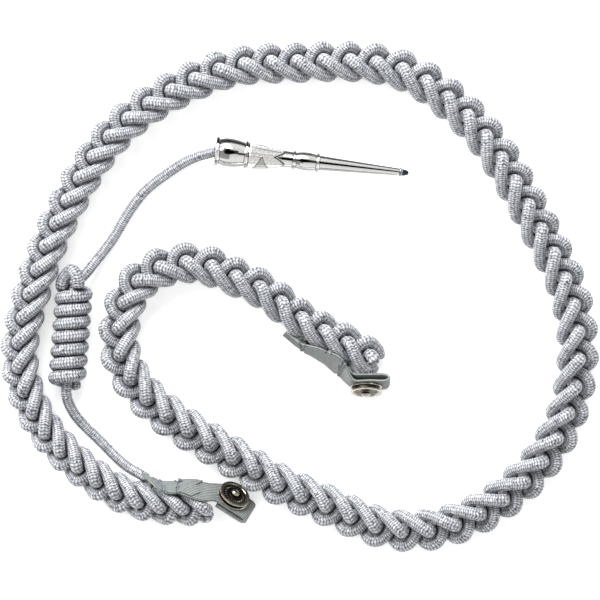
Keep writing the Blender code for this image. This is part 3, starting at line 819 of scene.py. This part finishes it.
# A closed band between two heights over a surface.
def bandMesh(name, grid, normal, along, low, high, material):
    count, width = grid.shape[:2]
    relief = tapeFinish["relief"] * (np.arange(width) % 2 == 0)[None, :, None]
    up, down = grid + normal * (high - relief), grid + normal * (low + relief)
    vertices = (np.concatenate([up.reshape(-1, 3), down.reshape(-1, 3)]) + shift) * mm
    half = count * width
    faces, weave = [], []
    at = lambda i, j: i * width + j
    uv = lambda i, j: (j / 2, along[i] / tapeFinish["weft"])
    for i in range(count - 1):
        for j in range(width - 1):
            ring = ((i, j), (i + 1, j), (i + 1, j + 1), (i, j + 1))
            faces.append([at(*v) for v in ring])
            weave += [uv(*v) for v in ring]
            faces.append([half + at(*v) for v in reversed(ring)])
            weave += [uv(*v) for v in reversed(ring)]
    rim = ([(i, 0) for i in range(count)] + [(count - 1, j) for j in range(1, width)]
           + [(i, width - 1) for i in range(count - 2, -1, -1)] + [(0, j) for j in range(width - 2, 0, -1)])
    for a, b in zip(rim, rim[1:] + rim[:1]):
        faces.append([at(*a), half + at(*a), half + at(*b), at(*b)])
        weave += [uv(*a), (uv(*a)[0] + 1, uv(*a)[1]), (uv(*b)[0] + 1, uv(*b)[1]), uv(*b)]
    obj = meshObject(name, vertices.tolist(), faces, material)
    layer = obj.data.uv_layers.new(name="weave")
    layer.data.foreach_set("uv", np.array(weave, np.float32).ravel())
    turnOutwards(obj, 50)
    return obj


# Round threads along several lines, all in one mesh.
def threadMesh(name, lines, radius, material, sides=8):
    vertices, faces, weave = [], [], []
    for line in lines:
        line = smoothRoute(line, 0.25)
        _, side, up = pathFrames(line)
        along = lengthAlong(line)
        start, count = len(vertices), len(line)
        for i in range(count):
            thin = radius * (0.5 if i in (0, count - 1) else 1)
            for k in range(sides):
                angle = 2 * math.pi * k / sides
                spot = line[i] + thin * (side[i] * math.cos(angle) + up[i] * math.sin(angle))
                vertices.append(tuple((spot + shift) * mm))
        for i in range(count - 1):
            for k in range(sides):
                n = (k + 1) % sides
                ring = start + i * sides
                faces.append((ring + k, ring + n, ring + sides + n, ring + sides + k))
                here, there = along[i] / 0.5, along[i + 1] / 0.5
                weave += [(k / 4, here), ((k + 1) / 4, here), ((k + 1) / 4, there), (k / 4, there)]
        for first, order in ((start, -1), (start + (count - 1) * sides, 1)):
            faces.append([first + k for k in range(sides)][::order])
            weave += [(0, 0)] * sides
    obj = meshObject(name, vertices, faces, material)
    layer = obj.data.uv_layers.new(name="weave")
    layer.data.foreach_set("uv", np.array(weave, np.float32).ravel())
    turnOutwards(obj)
    return obj


def stitchLine(at, grid, normal, row, lean):
    width = grid.shape[1]
    line = []
    for j in range(-1, width + 1):
        share = min(max(j, 0), width - 1) / (width - 1)
        i = int(np.argmin(np.abs(at - row - lean * (share - 0.5))))
        k = min(max(j, 0), width - 1)
        lift = tapeFinish["thickness"] / 2 + tapeFinish["stitchLift"]
        line.append(grid[i, k] + normal[i, k] * lift)
        if j in (-1, width):
            edge = grid[i, k] - grid[i, width - 1 - k]
            edge /= np.linalg.norm(edge)
            line[-1] = grid[i, k] + edge * 0.25 - normal[i, k] * lift * 0.6
    return line


for name, settings in tabs.items():
    at, grid, normal, along = tapeGrid(name)
    if (normal[: len(normal) // 3] @ np.array(settings["shows"], float)).mean() < 0:
        normal = -normal
    half = tapeFinish["thickness"] / 2
    tab = bandMesh(f"{name}TabWoven", grid, normal, along, -half, half, tapeCloth)
    dress(tab, f"tab_{name}")
    print(name, "tab length", round(float(along[-1]), 1))
    begin, end, jag = settings["layer"]
    rows = np.linspace(0, 1, tapeFinish["foldRows"])
    width = grid.shape[1]
    folded, foldedNormal = np.zeros((len(rows), width, 3)), np.zeros((len(rows), width, 3))
    for j in range(width):
        far = end + jag * (abs((j / (width - 1) * 3) % 2 - 1) - 0.5)
        where = begin + (far - begin) * rows
        for c in range(3):
            folded[:, j, c] = np.interp(where, at, grid[:, j, c])
            foldedNormal[:, j, c] = np.interp(where, at, normal[:, j, c])
    low, high = (half + rise for rise in tapeFinish["fold"])
    layer = bandMesh(f"{name}TabFold", folded, foldedNormal, lengthAlong(folded.mean(axis=1)),
                     low, high, tapeCloth)
    dress(layer)
    lines = [stitchLine(at, grid, normal, row, 0.25 * (-1) ** n)
             for n, row in enumerate(settings["stitches"])]
    if name == "outer":
        x, y, z = settings["tuft"]
        for n in range(3):
            foot = np.array((x + 0.3 * n, y, z))
            bend, end = (0.1 * n - 0.3, 0.9, 0.3), (0.2 * n - 0.6, 1.6 - 0.15 * n, 0.2 + 0.1 * n)
            lines.append([foot, foot + bend, foot + end])
    threads = threadMesh(f"{name}TabThreads", lines, tapeFinish["threadRadius"], threadFibre)
    dress(threads)
print("tabs made")

studio = {
    "floor": (0.93, 0.93, 0.93), "glow": 0.5, "reach": 4, "below": -0.0005,
    "fine": 0.0015, "fineHalf": 0.126, "dark": (0.0036, 0.0066), "endsBare": 7,
    # further spots of painted shadow under the tabs: x, y and size, millimetres
    "spots": ((-60.3, -73.6, 0.8), (-57.6, -75.6, 1.2), (1.0, -17.2, 0.8), (3.5, -18.8, 1.2),
              (19.0, -27.5, 1.5), (20.5, -31.0, 1.2)),
    "keyPlace": (-0.50, 1.0, 1.0), "keySize": (1.7, 1.1), "keyPower": 52,
    "skyStrength": 0.55,
    "sky": (
        (0.0, (1.7, 1.7, 1.7)), (0.6, (1.6, 1.6, 1.6)), (0.94, (1.25, 1.25, 1.25)),
        (0.955, (0.02, 0.02, 0.025)),
    ),
}
floorMaterial, floorTree, floorShader = nodeMaterial("white floor")
# where the "open" value is 0 the floor's colour and glow go black, as painted shadow
shade = floorTree.nodes.new("ShaderNodeAttribute")
shade.attribute_name = "open"
white = (1, 1, 1)
floorTree.links.new(mixNode(floorTree, "MIX", shade.outputs["Fac"], (0, 0, 0), studio["floor"]),
                    floorShader.inputs["Base Color"])
floorShader.inputs["Roughness"].default_value = 0.9
floorTree.links.new(mixNode(floorTree, "MIX", shade.outputs["Fac"], (0, 0, 0), white),
                    floorShader.inputs["Emission Color"])
floorShader.inputs["Emission Strength"].default_value = studio["glow"]


# The floor is finely divided near the plait. A dark strip of painted shadow lies on it under the plait
# and at the spots, because the white floor would show through gaps that the photograph doesn't have.
def floorMesh():
    reach, fine, half = studio["reach"], studio["fine"], studio["fineHalf"]
    edges = np.concatenate([[-reach], np.arange(-half, half + fine / 2, fine), [reach]])
    count = len(edges)
    vertices = [(x, y, studio["below"]) for y in edges for x in edges]
    faces = [(j * count + i, j * count + i + 1, (j + 1) * count + i + 1, (j + 1) * count + i)
             for j in range(count - 1) for i in range(count - 1)]
    obj = meshObject("floor", vertices, faces, floorMaterial, False)
    cut = studio["endsBare"]
    route = (smoothRoute(plait["route"], 1.0)[cut:-cut] + shift[:2]) * mm
    tree = KDTree(len(route))
    for i, (x, y) in enumerate(route):
        tree.insert((x, y, 0), i)
    tree.balance()
    inner, outer = studio["dark"]
    spots = [(x * mm, y * mm, size * mm) for x, y, size in studio["spots"]]
    off = []
    for x, y, _ in vertices:
        gaps = [math.hypot(x - spotX, y - spotY) - size for spotX, spotY, size in spots]
        off.append(min([tree.find((x, y, 0))[2] - inner] + gaps) / (outer - inner))
    layer = obj.data.attributes.new("open", "FLOAT", "POINT")
    layer.data.foreach_set("value", np.clip(off, 0, 1).astype(np.float32))
    return obj


floor = floorMesh()

light = bpy.data.lights.new("key", "AREA")
light.shape = "RECTANGLE"
light.size, light.size_y = studio["keySize"]
light.energy = studio["keyPower"]
key = bpy.data.objects.new("key", light)
keyPlace = Vector(studio["keyPlace"])
key.matrix_world = aimed(keyPlace, keyPlace.normalized())
bpy.context.scene.collection.objects.link(key)
world = bpy.data.worlds.new("studio")
world.use_nodes = True
worldTree = world.node_tree
background = worldTree.nodes["Background"]
direction = worldTree.nodes.new("ShaderNodeTexCoord")
axes = worldTree.nodes.new("ShaderNodeSeparateXYZ")
worldTree.links.new(direction.outputs["Generated"], axes.inputs[0])
worldTree.links.new(rampNode(worldTree, axes.outputs[2], studio["sky"]), background.inputs["Color"])
background.inputs["Strength"].default_value = studio["skyStrength"]
bpy.context.scene.world = world
bpy.context.scene.view_settings.view_transform = "Standard"
bpy.context.scene.view_settings.look = "None"
print("floor and light set")

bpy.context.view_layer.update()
